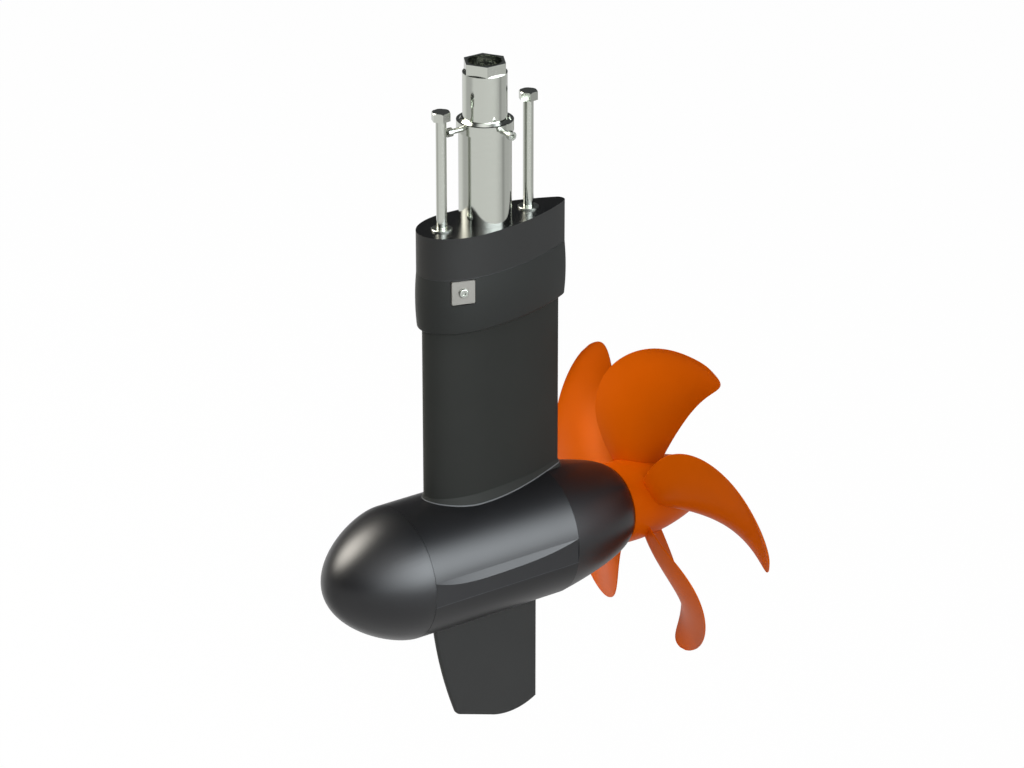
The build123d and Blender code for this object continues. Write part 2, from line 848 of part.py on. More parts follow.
def make_bearing(front):
    body = hoop(bearing_radius, shaft_radius + running_gap, front, front + bearing_width)
    land = (bearing_radius + shaft_radius) / 2
    for x in (front - 1, front + bearing_width - bearing_groove_depth):
        outer = land + bearing_groove_reach
        body -= hoop(outer, land - bearing_groove_reach, x, x + 1 + bearing_groove_depth)
    return body


def front_bearing_x():
    return end_plate_x + end_plate_lip


def make_circlip():
    outer = bearing_radius + circlip_land / 2 - running_gap
    front = rear_bearing_x - circlip_width - seat_gap / 2
    ring = hoop(outer, outer - 2 * circlip_land, front, front + circlip_width)
    gap = Box(4 * circlip_width, circlip_gap, 3 * circlip_land)
    return ring - Pos(front, 0, pod_axis_z - outer + circlip_land) * gap


def make_shaft_seals():
    made = []
    for k in (0, 1):
        front = seal_front_x + k * seal_width
        made.append(hoop(seal_radius, shaft_radius + running_gap, front, front + seal_width))
    return made


def end_plate_screw_spots():
    circle = pod_radius - housing_wall - end_plate_head_radius - 2 * loose_gap
    return circle_spots(circle, end_plate_screw_count)


def make_end_plate():
    radius = pod_radius - housing_wall - running_gap
    back = end_plate_x + end_plate_thickness
    body = lengthwise(radius, end_plate_x, back)
    boss_back = front_bearing_x() + bearing_width
    body += lengthwise(end_plate_boss_radius, end_plate_x, boss_back)
    body -= lengthwise(shaft_tunnel_radius, end_plate_x - 1, boss_back + 1)
    body -= lengthwise(bearing_radius + running_gap, front_bearing_x(), boss_back + 1)
    hole_z = pod_axis_z + end_plate_cable_height
    body -= lengthwise(cable_entry_radius, end_plate_x - 1, back + 1, 0, hole_z)
    for y, z in end_plate_screw_spots():
        body -= lengthwise(end_plate_screw_radius + seat_gap, end_plate_x - 1, back + 1, y, z)
    return body


def make_end_plate_screws():
    back = end_plate_x + end_plate_thickness
    point = end_plate_x - end_plate_screw_depth
    made = []
    for y, z in end_plate_screw_spots():
        screw = lengthwise(end_plate_screw_radius, point, back, y, z)
        screw += lengthwise(end_plate_head_radius, back, back + end_plate_head_height, y, z)
        made.append(screw)
    return made


# Motor


def make_stator_core():
    outer = pod_radius - housing_wall - running_gap
    back = stator_front_x + stator_length
    body = hoop(outer, stator_bore, stator_front_x, back)
    depth = slot_bottom_radius - stator_bore + 2
    slot = Box(stator_length + 2, slot_width, depth, align=(Align.MIN, Align.CENTER, Align.MIN))
    slot = Pos(stator_front_x - 1, 0, stator_bore - 2) * slot
    for cut in around(slot, slot_count):
        body -= Pos(0, 0, pod_axis_z) * cut
    return body


def make_stator_windings():
    """Copper basket: a bar in every slot, joined by an end turn in front and behind."""
    outer = slot_bottom_radius - loose_gap
    inner = stator_bore + winding_inset
    back = stator_front_x + stator_length
    front_end = hoop(outer, inner, stator_front_x - winding_end_length, stator_front_x - loose_gap)
    back_end = hoop(outer, inner, back + loose_gap, back + winding_end_length)
    bar = Box(
        stator_length + 2,
        slot_width - 2 * loose_gap,
        outer - inner - 2 * winding_bar_inset,
        align=(Align.MIN, Align.CENTER, Align.MIN),
    )
    bar = Pos(stator_front_x - 1, 0, inner + winding_bar_inset) * bar
    body = front_end + back_end
    for copy in around(bar, slot_count):
        body += Pos(0, 0, pod_axis_z) * copy
    return body


def rotor_front_x():
    return stator_front_x + (stator_length - rotor_length) / 2


def make_rotor_core():
    back = rotor_front_x() + rotor_length
    return hoop(rotor_radius, shaft_rotor_radius + running_gap, rotor_front_x(), back)


def make_rotor_magnets():
    back = rotor_front_x() + rotor_length
    body = hoop(magnet_radius, rotor_radius + running_gap, rotor_front_x(), back)
    slit = Box(
        rotor_length + 2, magnet_gap, 2 * magnet_radius, align=(Align.MIN, Align.CENTER, Align.MIN)
    )
    slit = Pos(rotor_front_x() - 1, 0, 0) * slit
    for cut in around(slit, magnet_count):
        body -= Pos(0, 0, pod_axis_z) * cut
    return body


# Shaft and propeller


def pin_x():
    return shaft_shoulder_x + thrust_washer_thickness + pin_radius


def make_drive_shaft():
    body = lengthwise(shaft_radius, shaft_front_x, shaft_shoulder_x)
    shoulder_front = front_bearing_x() + bearing_width + shaft_end_play
    body += lengthwise(shaft_rotor_radius, shoulder_front, rear_bearing_x - shaft_end_play)
    body += lengthwise(shaft_tail_radius, shaft_front_x, propeller_nut_x)
    nut_front = propeller_nut_x + propeller_washer_thickness
    thread_back = nut_front + propeller_nut_height + shaft_thread_reach
    body += lengthwise(shaft_thread_radius, shaft_front_x, thread_back)
    body -= Pos(pin_x(), 0, pod_axis_z) * Cylinder(pin_radius + running_gap, 4 * shaft_radius)
    return body


def make_thrust_washer():
    back = shaft_shoulder_x + thrust_washer_thickness
    return hoop(thrust_washer_radius, shaft_tail_radius + running_gap, shaft_shoulder_x, back)


def make_drive_pin():
    return Pos(pin_x(), 0, pod_axis_z) * Cylinder(pin_radius, pin_length)


def make_propeller_washer():
    back = propeller_nut_x + propeller_washer_thickness
    return hoop(thrust_washer_radius, shaft_thread_radius + running_gap, propeller_nut_x, back)


def make_propeller_nut():
    nut = hexagon(propeller_nut_flats, propeller_nut_height)
    front = propeller_nut_x + propeller_washer_thickness
    body = Pos(front, 0, pod_axis_z) * Rot(0, 90, 0) * nut
    return body - lengthwise(shaft_thread_radius + running_gap, front - 1, front + propeller_nut_height + 1)


def make_hub():
    """Barrel that swells behind the rear cover and tapers aft, with a recess at each end."""
    front = cover_back_x + hub_gap
    outside = ThreePointArc(
        station(front, hub_front_radius),
        station(front + hub_middle_run, hub_middle_radius),
        station(hub_back_x, hub_back_radius),
    )
    close = Polyline(
        station(hub_back_x, hub_back_radius),
        station(hub_back_x, 0),
        station(front, 0),
        station(front, hub_front_radius),
    )
    body = turned([outside.edge(), *close.edges()])
    floor_front = shaft_shoulder_x + thrust_washer_thickness
    body -= lengthwise(hub_recess_radius, front - 1, floor_front)
    body -= lengthwise(hub_recess_radius, propeller_nut_x, hub_back_x + 1)
    body -= lengthwise(shaft_tail_radius + running_gap, front - 1, hub_back_x + 1)
    slot = Box(
        2 * pin_radius + running_gap,
        2 * pin_radius + 2 * running_gap,
        pin_length + 2 * loose_gap,
        align=(Align.MIN, Align.CENTER, Align.CENTER),
    )
    body -= Pos(floor_front, 0, pod_axis_z) * slot
    return body


def blade_pitch(share):
    """Pitch through its three named values at the root, the middle and the tip."""
    root = blade_root_pitch * (1 - share) * (1 - 2 * share)
    middle = blade_middle_pitch * 4 * share * (1 - share)
    tip = blade_tip_pitch * share * (2 * share - 1)
    return root + middle + tip


def blade_point(share, along, side, flat):
    """Point of a blade: share from root to tip, along the chord from -0.5 to 0.5, and its side."""
    radius = blade_root_radius + share * (blade_tip_radius - blade_root_radius)
    outward = max(share, 0.0)
    taper = sqrt(1 - outward**blade_tip_fullness)
    chord = (blade_root_chord + blade_chord_growth * share - blade_chord_ease * share**2) * taper
    slope = atan2(blade_pitch(share), 2 * pi * radius)
    crown = 1 - 4 * along**2
    thickest = blade_root_thickness + (blade_tip_thickness - blade_root_thickness) * outward
    half = (blade_edge_thickness + (thickest - blade_edge_thickness) * crown) / 2
    camber = blade_root_camber + (blade_tip_camber - blade_root_camber) * outward
    offset = side * half - camber * chord * crown
    run = along * chord * cos(slope) - offset * sin(slope)
    rake = blade_rake * outward**blade_rake_power
    x = blade_mid_x + rake + along * chord * sin(slope) + offset * cos(slope)
    heading = radians(blade_heading + blade_lean * outward + blade_skew * outward**blade_skew_power)
    if flat:
        y = -radius * sin(heading) - run * cos(heading)
        z = radius * cos(heading) - run * sin(heading)
    else:
        heading += run / radius
        y = -radius * sin(heading)
        z = radius * cos(heading)
    return Vector(x, y, z)


def blade_section(share, flat=False):
    """Closed thin section: two long curved sides and two short edges."""
    places = [k / blade_section_steps - 0.5 for k in range(blade_section_steps + 1)]
    front_side = [blade_point(share, s, -1, flat) for s in places]
    back_side = [blade_point(share, s, 1, flat) for s in places]
    edges = [
        Edge.make_spline(front_side),
        Edge.make_line(front_side[-1], back_side[-1]),
        Edge.make_spline(back_side[::-1]),
        Edge.make_line(back_side[0], front_side[0]),
    ]
    return Wire(edges)


def make_blade():
    buried = (blade_buried_radius - blade_root_radius) / (blade_tip_radius - blade_root_radius)
    steps = range(blade_station_count)
    shares = [sin(pi / 2 * k / blade_station_count) for k in steps]
    wires = [blade_section(buried, flat=True)]
    wires += [blade_section(share) for share in shares]
    last = 1 - blade_tip_trim / (blade_tip_radius - blade_root_radius)
    wires.append(blade_section(last, flat=True))
    return Solid.make_loft(wires)


def make_propeller():
    """Hub and five skewed blades in one moulding."""
    body = make_hub()
    blade = make_blade()
    for copy in around(blade, blade_count):
        body += Pos(0, 0, pod_axis_z) * copy
    body -= lengthwise(hub_recess_radius, propeller_nut_x, hub_back_x + 1)
    return body


# Controller


def make_controller_board():
    board = lengthwise(board_radius, board_x, board_x + board_thickness)
    for y, z in circle_spots(standoff_circle, standoff_count):
        board -= lengthwise(standoff_radius / 2, board_x - 1, board_x + 2 * board_thickness, y, z)
    return board


def circle_spots(circle, count):
    step = 2 * pi / count
    headings = [step * (k + 0.5) for k in range(count)]
    return [(circle * cos(a), pod_axis_z + circle * sin(a)) for a in headings]


def make_heat_sink():
    """Finned disc between the board and the end plate."""
    back = end_plate_x
    body = lengthwise(heat_sink_radius, back - heat_sink_thickness, back)
    slot = Box(heat_sink_thickness, heat_sink_slot_width, 4 * heat_sink_radius)
    reach = int(heat_sink_radius // heat_sink_fin_pitch)
    for k in range(-reach, reach + 1):
        body -= Pos(back - heat_sink_thickness, k * heat_sink_fin_pitch, pod_axis_z) * slot
    return body


def make_board_standoffs():
    """Posts from the end plate to the board, each with a stud through the board."""
    made = []
    for y, z in circle_spots(standoff_circle, standoff_count):
        post = lengthwise(standoff_radius, board_x + board_thickness, end_plate_x, y, z)
        stud_front = board_x - standoff_stud_reach
        post += lengthwise(standoff_radius / 2 - running_gap, stud_front, end_plate_x, y, z)
        made.append(post)
    return made


def make_capacitors():
    made = []
    for y, z in circle_spots(capacitor_circle, capacitor_count):
        made.append(lengthwise(capacitor_radius, board_x - capacitor_length, board_x, y, z))
    return made


def main():
    os.makedirs("parts", exist_ok=True)
    export("upper_collar", make_upper_collar())
    export("lower_collar", make_lower_collar())
    export("collar_gasket", make_collar_gasket())
    export("threaded_inserts", *make_inserts())
    export("anodes", *make_anodes())
    export("anode_screws", *make_anode_screws())
    export("outer_tube", make_outer_tube())
    export("inner_tube", make_inner_tube())
    export("clamp_ring", make_clamp_ring())
    export("clamp_screws", *make_clamp_screws())
    export("stem_floor_screws", *make_floor_screws())
    export("stem_seal", make_stem_seal())
    export("cable_gland", make_cable_gland())
    export("hull_bolts", *make_hull_bolts())
    export("hull_washers", *make_hull_washers())
    export("leg", make_leg())
    export("foot_gasket", make_foot_gasket())
    export("leg_screws", *make_leg_screws())
    export("fin", make_fin())
    export("fin_screws", *make_fin_screws())
    export("motor_housing", make_motor_housing())
    export("nose_cone", make_nose_cone())
    export("nose_seal", make_nose_seal())
    export("rear_cover", make_rear_cover())
    export("rear_seal", make_rear_seal())
    export("front_bearing", make_bearing(front_bearing_x()))
    export("rear_bearing", make_bearing(rear_bearing_x))
    export("bearing_circlip", make_circlip())
    export("shaft_seals", *make_shaft_seals())
    export("end_plate", make_end_plate())
    export("end_plate_screws", *make_end_plate_screws())
    export("stator_core", make_stator_core())
    export("stator_windings", make_stator_windings())
    export("rotor_core", make_rotor_core())
    export("rotor_magnets", make_rotor_magnets())
    export("drive_shaft", make_drive_shaft())
    export("thrust_washer", make_thrust_washer())
    export("drive_pin", make_drive_pin())
    export("propeller", make_propeller())
    export("propeller_washer", make_propeller_washer())
    export("propeller_nut", make_propeller_nut())
    export("controller_board", make_controller_board())
    export("heat_sink", make_heat_sink())
    export("board_standoffs", *make_board_standoffs())
    export("capacitors", *make_capacitors())


main()
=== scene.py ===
"""Looks of an electric pod drive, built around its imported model. Metres, +X aft, +Y starboard, +Z up."""
from math import cos, pi, radians, sin, sqrt

import bmesh
import bpy
from bpy.props import FloatProperty, FloatVectorProperty, PointerProperty
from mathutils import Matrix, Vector


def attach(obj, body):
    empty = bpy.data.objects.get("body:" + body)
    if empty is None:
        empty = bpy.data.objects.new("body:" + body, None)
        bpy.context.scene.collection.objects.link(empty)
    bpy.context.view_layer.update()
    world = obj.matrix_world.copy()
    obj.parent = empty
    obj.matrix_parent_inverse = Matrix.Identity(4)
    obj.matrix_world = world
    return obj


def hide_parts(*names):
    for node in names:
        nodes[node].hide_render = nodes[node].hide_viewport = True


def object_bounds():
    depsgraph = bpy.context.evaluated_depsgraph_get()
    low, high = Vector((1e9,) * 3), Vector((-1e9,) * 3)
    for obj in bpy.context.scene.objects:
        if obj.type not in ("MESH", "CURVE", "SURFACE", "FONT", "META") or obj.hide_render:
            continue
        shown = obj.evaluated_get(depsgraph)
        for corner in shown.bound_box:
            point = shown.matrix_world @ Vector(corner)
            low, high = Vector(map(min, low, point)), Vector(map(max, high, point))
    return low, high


bl_info = {
    "name": "Pod drive looks",
    "version": (1, 0, 0),
    "blender": (4, 5, 0),
    "location": "3D View > Sidebar > Pod drive",
    "description": "Finishes, motor housing and studio for an electric pod drive",
    "category": "Object",
}

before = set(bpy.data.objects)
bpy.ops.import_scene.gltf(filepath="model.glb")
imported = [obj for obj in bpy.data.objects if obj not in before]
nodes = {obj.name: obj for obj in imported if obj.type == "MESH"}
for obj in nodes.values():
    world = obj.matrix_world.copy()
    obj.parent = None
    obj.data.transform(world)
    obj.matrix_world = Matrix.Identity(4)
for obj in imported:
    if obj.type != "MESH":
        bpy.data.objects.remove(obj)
cad_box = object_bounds()

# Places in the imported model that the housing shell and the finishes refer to, in metres
POD_AXIS_Z = -0.338
POD_RADIUS = 0.066
HOUSING_ENDS = (-0.105, 0.0635)
FLAT_HALF_HEIGHT = 0.0127
RING_FOOT_Z = 0.089

# Scallop along the upper edge of each side flat. Its reach down the flat at mid length, its gap to the
# flat's edge and how far its cutter stands proud of the flat, in metres
SCALLOP_DROP = 0.0096
SCALLOP_CREASE_GAP = 0.00005
SCALLOP_OVERSHOOT = 0.0005
# How much fuller it is ahead, how steeply it goes in, and in how many steps it runs along the flat
SCALLOP_LEAN = 0.2
SCALLOP_SLOPE = 0.33
SCALLOP_STATIONS = 48
# Corners of the shell closer than this are one, in metres, and edges sharper than this stay sharp
WELD_DISTANCE = 0.000001
SHARP_FROM = radians(8)

# Painted highlight along the lip round the foot of the leg: its colour, and where it runs outside the pod's
# skin, in metres
LIP_HIGHLIGHT_COLOUR = (0.16, 0.165, 0.17)
LIP_STAND_OFF = 0.0009

# A face whose normal points upwards by more than this share is level
LEVEL_FROM = 0.98

# Camera: the width of its sensor in millimetres, and how far it sees in metres
SENSOR_WIDTH = 36.0
SIGHT_LIMIT = 100.0

# Lights: the point that they look at, their colours and their places, in metres
STUDIO_MIDDLE = (0.03, 0.0, -0.22)
PLAIN_WHITE = (1.0, 1.0, 1.0)
WARM_WHITE = (1.0, 0.95, 0.86)
COOL_WHITE = (0.94, 0.97, 1.0)
BOW_PLACE = (-1.28, 1.53, 1.37)
HALO_PLACE = (-1.84, -2.23, 2.1)
PORT_PLACE = (-1.1, -2.5, 0.7)
TOP_PLACE = (-0.6, -1.4, 3.0)

# Light cards: sides and how far their glow reaches, in metres, and the share of that at full glow
BOW_CARD_SIDE = 2.7
BOW_CARD_REACH = 1.33
HALO_CARD_SIDE = 6.0
HALO_CARD_REACH = 3.0
CARD_CORE = 0.2

# Light wall: its colour, its first heading and the headings that it covers in degrees round the stem, and
# the flat steps that it is bent in
WALL_COLOUR = (0.90, 0.96, 1.0)
WALL_START = -152.0
WALL_SPAN = 120.0
WALL_STEPS = 48
# Its height, and the heights at which its glow is full, starts to fade and ends, in metres. The share is
# what the glow is at its foot
WALL_HEIGHT = 6.5
WALL_FOOT_SHARE = 0.55
WALL_FULL_HEIGHT = 1.6
WALL_FADE_START = 2.0
WALL_FADE_END = 6.4
# It glows where both these windows let it: first heading, last heading, soft edge
WALL_WINDOWS = ((-115.0, 0.0, 28.0), (-180.0, -49.0, 8.0))

# Floor: its side in metres, its paint, and the share of it that glows where it is seen
FLOOR_SIDE = 60.0
FLOOR_PAINT = (0.88, 0.88, 0.87)
FLOOR_GLOW_SHARE = 0.98
# Windows in which its mirror image is dimmer: first heading, last heading, soft edge, share taken away
FLOOR_DIMMING = ((-62.0, 75.0, 22.0, 0.32), (-48.0, -34.0, 6.0, 0.18), (122.0, 168.0, 12.0, 0.32))

# Surround: its colour, its level, and how much of that level is missing from its mirror image
SURROUND_COLOUR = (0.92, 0.96, 1.0)
SURROUND_LEVEL = 0.40
SURROUND_MIRROR_CUT = 0.31


# Settings a user would change


def colour_setting(name, description, default):
    """Property that holds a colour."""
    return FloatVectorProperty(
        name=name, description=description, subtype="COLOR", size=3, min=0.0, max=1.0, default=default,
    )


def share_setting(name, description, default):
    """Property that holds a number from nought to one."""
    return FloatProperty(
        name=name, description=description, subtype="FACTOR", min=0.0, max=1.0, default=default,
    )


def power_setting(name, description, default):
    """Property that holds the power of a lamp, in watts."""
    return FloatProperty(
        name=name, description=description, subtype="POWER", unit="POWER", default=default,
    )


class PodColours(bpy.types.PropertyGroup):
    """Colours of the outer pieces"""

    leg: colour_setting("Leg", "Satin black of the leg", (0.0255, 0.0265, 0.0240))
    upper_collar: colour_setting("Upper collar", "Charcoal of the upper collar", (0.027, 0.027, 0.026))
    lower_collar: colour_setting("Lower collar", "Black of the lower collar", (0.019, 0.020, 0.0185))
    pod: colour_setting("Pod", "Black enamel of the motor pod", (0.006, 0.006, 0.007))
    fin: colour_setting("Fin", "Charcoal of the fin", (0.029, 0.029, 0.028))
    propeller: colour_setting("Propeller", "Orange of the propeller", (0.57, 0.088, 0.0003))
    steel: colour_setting("Steel", "Polished stainless steel", (0.53, 0.55, 0.50))
    anode: colour_setting("Anode", "Cast anode metal", (0.185, 0.178, 0.162))


class PodGloss(bpy.types.PropertyGroup):
    """Roughness of the outer finishes"""

    pod_roughness: share_setting("Pod roughness", "Roughness of the pod's enamel", 0.36)
    collar_roughness: share_setting("Collar roughness", "Roughness of the collar's walls", 0.5)
    top_roughness: share_setting(
        "Collar top roughness", "Roughness of the collar's polished top face", 0.27
    )
    steel_roughness: share_setting("Steel roughness", "Roughness of the polished steel", 0.09)
    propeller_roughness: share_setting(
        "Propeller roughness", "Roughness of the propeller's moulded skin", 0.38
    )


class PodStudio(bpy.types.PropertyGroup):
    """Camera and light of the studio"""

    camera_heading: FloatProperty(
        name="Camera heading", description="Turn of the camera about its upright", subtype="ANGLE",
        default=radians(-36.29),
    )
    camera_height: FloatProperty(
        name="Camera tilt", description="Angle that the camera looks down at", subtype="ANGLE",
        default=radians(23.38),
    )
    camera_place: FloatVectorProperty(
        name="Camera place", description="Place of the camera", subtype="TRANSLATION", size=3,
        default=(-2.1488, -2.9686, 1.4151),
    )
    lens: FloatProperty(
        name="Lens", description="Focal length on a 36 mm sensor, in millimetres", default=147.39,
    )
    floor_drop: FloatProperty(
        name="Floor drop", description="Height of the fin's foot above the floor", subtype="DISTANCE",
        unit="LENGTH", default=0.16,
    )
    wall_glow: FloatProperty(
        name="Wall glow", description="Brightness of the curved light wall on the port side", default=12.8,
    )
    bow_glow: FloatProperty(
        name="Bow glow", description="Brightness of the warm card ahead and to starboard", default=22.5,
    )
    halo_glow: FloatProperty(
        name="Halo glow", description="Brightness of the wide faint card off the port bow", default=1.6,
    )
    wall_radius: FloatProperty(
        name="Wall radius", description="Distance of the light wall from the stem", subtype="DISTANCE",
        unit="LENGTH", default=4.5,
    )
    bow_power: power_setting("Bow power", "Power of the warm softbox ahead and to starboard", 45.0)
    port_power: power_setting("Port power", "Power of the wide softbox on the port side", 28.0)
    top_power: power_setting("Top power", "Power of the softbox high on the port side", 25.0)


# Node trees


def maths(tree, operation, first, second):
    """Math node between two sockets or numbers. Returns its output."""
    node = tree.nodes.new("ShaderNodeMath")
    node.operation = operation
    for socket, value in zip(node.inputs, (first, second)):
        if isinstance(value, (int, float)):
            socket.default_value = value
        else:
            tree.links.new(value, socket)
    return node.outputs[0]


def distance(tree, across, up):
    """Distance of a point from an axis, from its two measures square to that axis."""
    square = maths(
        tree, "ADD", maths(tree, "MULTIPLY", across, across), maths(tree, "MULTIPLY", up, up)
    )
    return maths(tree, "SQRT", square, 0.0)


def ramp(tree, value, start, end, first, last):
    """Smooth step of a value from one level to another."""
    node = tree.nodes.new("ShaderNodeMapRange")
    node.interpolation_type = "SMOOTHSTEP"
    tree.links.new(value, node.inputs["Value"])
    for label, number in (("From Min", start), ("From Max", end), ("To Min", first), ("To Max", last)):
        node.inputs[label].default_value = number
    return node.outputs["Result"]


def band(tree, value, middle, half_width, soft):
    """One within a half width of a middle value, fading to zero over a soft edge."""
    away = maths(tree, "ABSOLUTE", maths(tree, "SUBTRACT", value, middle), 0.0)
    return ramp(tree, away, half_width - soft / 2, half_width + soft / 2, 1.0, 0.0)


def split(tree, vector):
    """X, Y and Z outputs of a vector."""
    parts = tree.nodes.new("ShaderNodeSeparateXYZ")
    tree.links.new(vector, parts.inputs[0])
    return parts.outputs


def own_place(tree):
    """X, Y and Z of the shaded point in its object's own frame, which for the parts is the model's."""
    return split(tree, tree.nodes.new("ShaderNodeTexCoord").outputs["Object"])


def studio_place(tree):
    """X, Y and Z of the shaded point in the studio."""
    return split(tree, tree.nodes.new("ShaderNodeNewGeometry").outputs["Position"])


def heading_window(tree, low, high, soft):
    """One inside a range of headings round the stem, in degrees, and zero outside it."""
    place = studio_place(tree)
    heading = maths(tree, "ARCTAN2", place["Y"], place["X"])
    heading = maths(tree, "MULTIPLY", heading, 180 / pi)
    rise = ramp(tree, heading, low - soft, low + soft, 0.0, 1.0)
    fall = ramp(tree, heading, high - soft, high + soft, 1.0, 0.0)
    return maths(tree, "MULTIPLY", rise, fall)


# Shared effects


def new_group(name, inputs, outputs):
    """Empty node group with its sockets, and its input and output nodes."""
    group = bpy.data.node_groups.new(name, "ShaderNodeTree")
    for label, kind, value in inputs:
        socket = group.interface.new_socket(label, in_out="INPUT", socket_type=kind)
        socket.default_value = value
    for label, kind in outputs:
        group.interface.new_socket(label, in_out="OUTPUT", socket_type=kind)
    source = group.nodes.new("NodeGroupInput")
    result = group.nodes.new("NodeGroupOutput")
    return group, source, result


def noise(tree, place, scale, detail):
    """Noise at a place, with its scale as a number or a socket. Returns its output."""
    node = tree.nodes.new("ShaderNodeTexNoise")
    node.inputs["Detail"].default_value = detail
    tree.links.new(place, node.inputs["Vector"])
    if isinstance(scale, float):
        node.inputs["Scale"].default_value = scale
    else:
        tree.links.new(scale, node.inputs["Scale"])
    return node.outputs["Fac"]


def moulded_skin_group():
    """Fine grain of a moulded or coated skin: a height, a roughness and a soft patchiness."""
    group, source, result = new_group(
        "Moulded skin",
        [
            ("Grain per metre", "NodeSocketFloat", 2500.0),
            ("Roughness", "NodeSocketFloat", 0.4),
            ("Spread", "NodeSocketFloat", 0.08),
            ("Colour", "NodeSocketColor", (0.5, 0.5, 0.5, 1.0)),
            ("Patchiness", "NodeSocketFloat", 0.08),
        ],
        [
            ("Colour", "NodeSocketColor"),
            ("Roughness", "NodeSocketFloat"),
            ("Height", "NodeSocketFloat"),
        ],
    )
    place = group.nodes.new("ShaderNodeTexCoord").outputs["Object"]
    grain = noise(group, place, scale=source.outputs["Grain per metre"], detail=2.0)
    clouds = noise(group, place, scale=28.0, detail=3.0)
    swing = maths(group, "SUBTRACT", clouds, 0.5)
    rough = maths(group, "MULTIPLY", swing, source.outputs["Spread"])
    rough = maths(group, "ADD", rough, source.outputs["Roughness"])
    group.links.new(rough, result.inputs["Roughness"])
    group.links.new(grain, result.inputs["Height"])
    shade = maths(group, "MULTIPLY", swing, source.outputs["Patchiness"])
    shade = maths(group, "ADD", shade, 1.0)
    tint = group.nodes.new("ShaderNodeVectorMath")
    tint.operation = "SCALE"
    group.links.new(source.outputs["Colour"], tint.inputs[0])
    group.links.new(shade, tint.inputs["Scale"])
    group.links.new(tint.outputs[0], result.inputs["Colour"])
    return group


def tool_lines_group():
    """Fine lines that turning or polishing leaves: noise squeezed along one axis."""
    group, source, result = new_group(
        "Tool lines",
        [
            ("Squeeze", "NodeSocketVector", (60.0, 60.0, 4000.0)),
            ("Roughness", "NodeSocketFloat", 0.1),
            ("Spread", "NodeSocketFloat", 0.08),
        ],
        [("Roughness", "NodeSocketFloat"), ("Height", "NodeSocketFloat")],
    )
    place = group.nodes.new("ShaderNodeTexCoord").outputs["Object"]
    squeeze = group.nodes.new("ShaderNodeVectorMath")
    squeeze.operation = "MULTIPLY"
    group.links.new(place, squeeze.inputs[0])
    group.links.new(source.outputs["Squeeze"], squeeze.inputs[1])
    lines = noise(group, squeeze.outputs[0], scale=1.0, detail=4.0)
    smears = noise(group, place, scale=45.0, detail=2.0)
    mixed = maths(group, "MULTIPLY", lines, smears)
    mixed = maths(group, "MULTIPLY", mixed, source.outputs["Spread"])
    rough = maths(group, "ADD", mixed, source.outputs["Roughness"])
    group.links.new(rough, result.inputs["Roughness"])
    group.links.new(lines, result.inputs["Height"])
    return group


GROUPS = {}


def shared(name):
    """The node group of an effect, built the first time it is asked for."""
    makers = {"skin": moulded_skin_group, "lines": tool_lines_group}
    if name not in GROUPS:
        GROUPS[name] = makers[name]()
    return GROUPS[name]


def place_group(tree, name, **values):
    """Puts a shared effect into a material with its own values."""
    node = tree.nodes.new("ShaderNodeGroup")
    node.node_tree = shared(name)
    for label, value in values.items():
        node.inputs[label.replace("_", " ")].default_value = value
    return node


# Materials


def opened(material):
    """Tree and Principled shader of a material."""
    return material.node_tree, material.node_tree.nodes["Principled BSDF"]


def new_material(name):
    """Node material with only its Principled shader. Returns it with its tree and shader."""
    material = bpy.data.materials.new(name)
    material.use_nodes = True
    return material, *opened(material)


def scaled(colour, share):
    """A colour made darker or lighter."""
    return tuple(share * c for c in colour)


def add_bump(tree, shader, height, depth):
    """Adds a height in front of the shader's normal."""
    bump = tree.nodes.new("ShaderNodeBump")
    bump.inputs["Distance"].default_value = depth
    tree.links.new(height, bump.inputs["Height"])
    tree.links.new(bump.outputs[0], shader.inputs["Normal"])


def blend_input(tree, shader, label, mask, value):
    """Fades a shader input to a value where the mask is one."""
    blend = tree.nodes.new("ShaderNodeMix")
    if isinstance(value, tuple):
        blend.data_type = "RGBA"
        sockets = [n for n in blend.inputs if n.type == "RGBA"]
        value = (*value, 1.0)
    else:
        sockets = [n for n in blend.inputs if n.type == "VALUE" and n.name in "AB"]
    tree.links.new(shader.inputs[label].links[0].from_socket, sockets[0])
    sockets[1].default_value = value
    tree.links.new(mask, blend.inputs[0])
    result = next(n for n in blend.outputs if n.type == sockets[0].type)
    tree.links.new(result, shader.inputs[label])


def skin_material(name, colour, roughness, spread=0.08, grain=2500.0, depth=0.00002, specular=0.5):
    """Coated or moulded skin with its own colour, gloss and grain."""
    material, tree, shader = new_material(name)
    skin = place_group(
        tree, "skin", Colour=(*colour, 1.0), Roughness=roughness, Spread=spread,
        Grain_per_metre=grain, Patchiness=0.1,
    )
    tree.links.new(skin.outputs["Colour"], shader.inputs["Base Color"])
    tree.links.new(skin.outputs["Roughness"], shader.inputs["Roughness"])
    add_bump(tree, shader, skin.outputs["Height"], depth)
    shader.inputs["Specular IOR Level"].default_value = specular
    return material


def metal_material(name, colour, roughness, spread=0.08, squeeze=(60.0, 60.0, 4000.0), depth=0.000002):
    """Bare metal with tool lines across one axis."""
    material, tree, shader = new_material(name)
    lines = place_group(tree, "lines", Roughness=roughness, Spread=spread, Squeeze=squeeze)
    shader.inputs["Metallic"].default_value = 1.0
    tint = tree.nodes.new("ShaderNodeMix")
    tint.data_type = "RGBA"
    tint.inputs["A"].default_value = (*colour, 1.0)
    tint.inputs["B"].default_value = (*scaled(colour, 0.9), 1.0)
    tree.links.new(lines.outputs["Height"], tint.inputs["Factor"])
    tree.links.new(tint.outputs["Result"], shader.inputs["Base Color"])
    tree.links.new(lines.outputs["Roughness"], shader.inputs["Roughness"])
    add_bump(tree, shader, lines.outputs["Height"], depth)
    return material


def steel_material(name, scene, share=1.0, rougher=0.0):
    """Stainless steel, rougher than the polished kind where asked, and with its colour darkened as painted
    shade where asked.
    """
    colour = scaled(scene.pod_colours.steel, share)
    return metal_material(name, colour, scene.pod_gloss.steel_roughness + rougher)


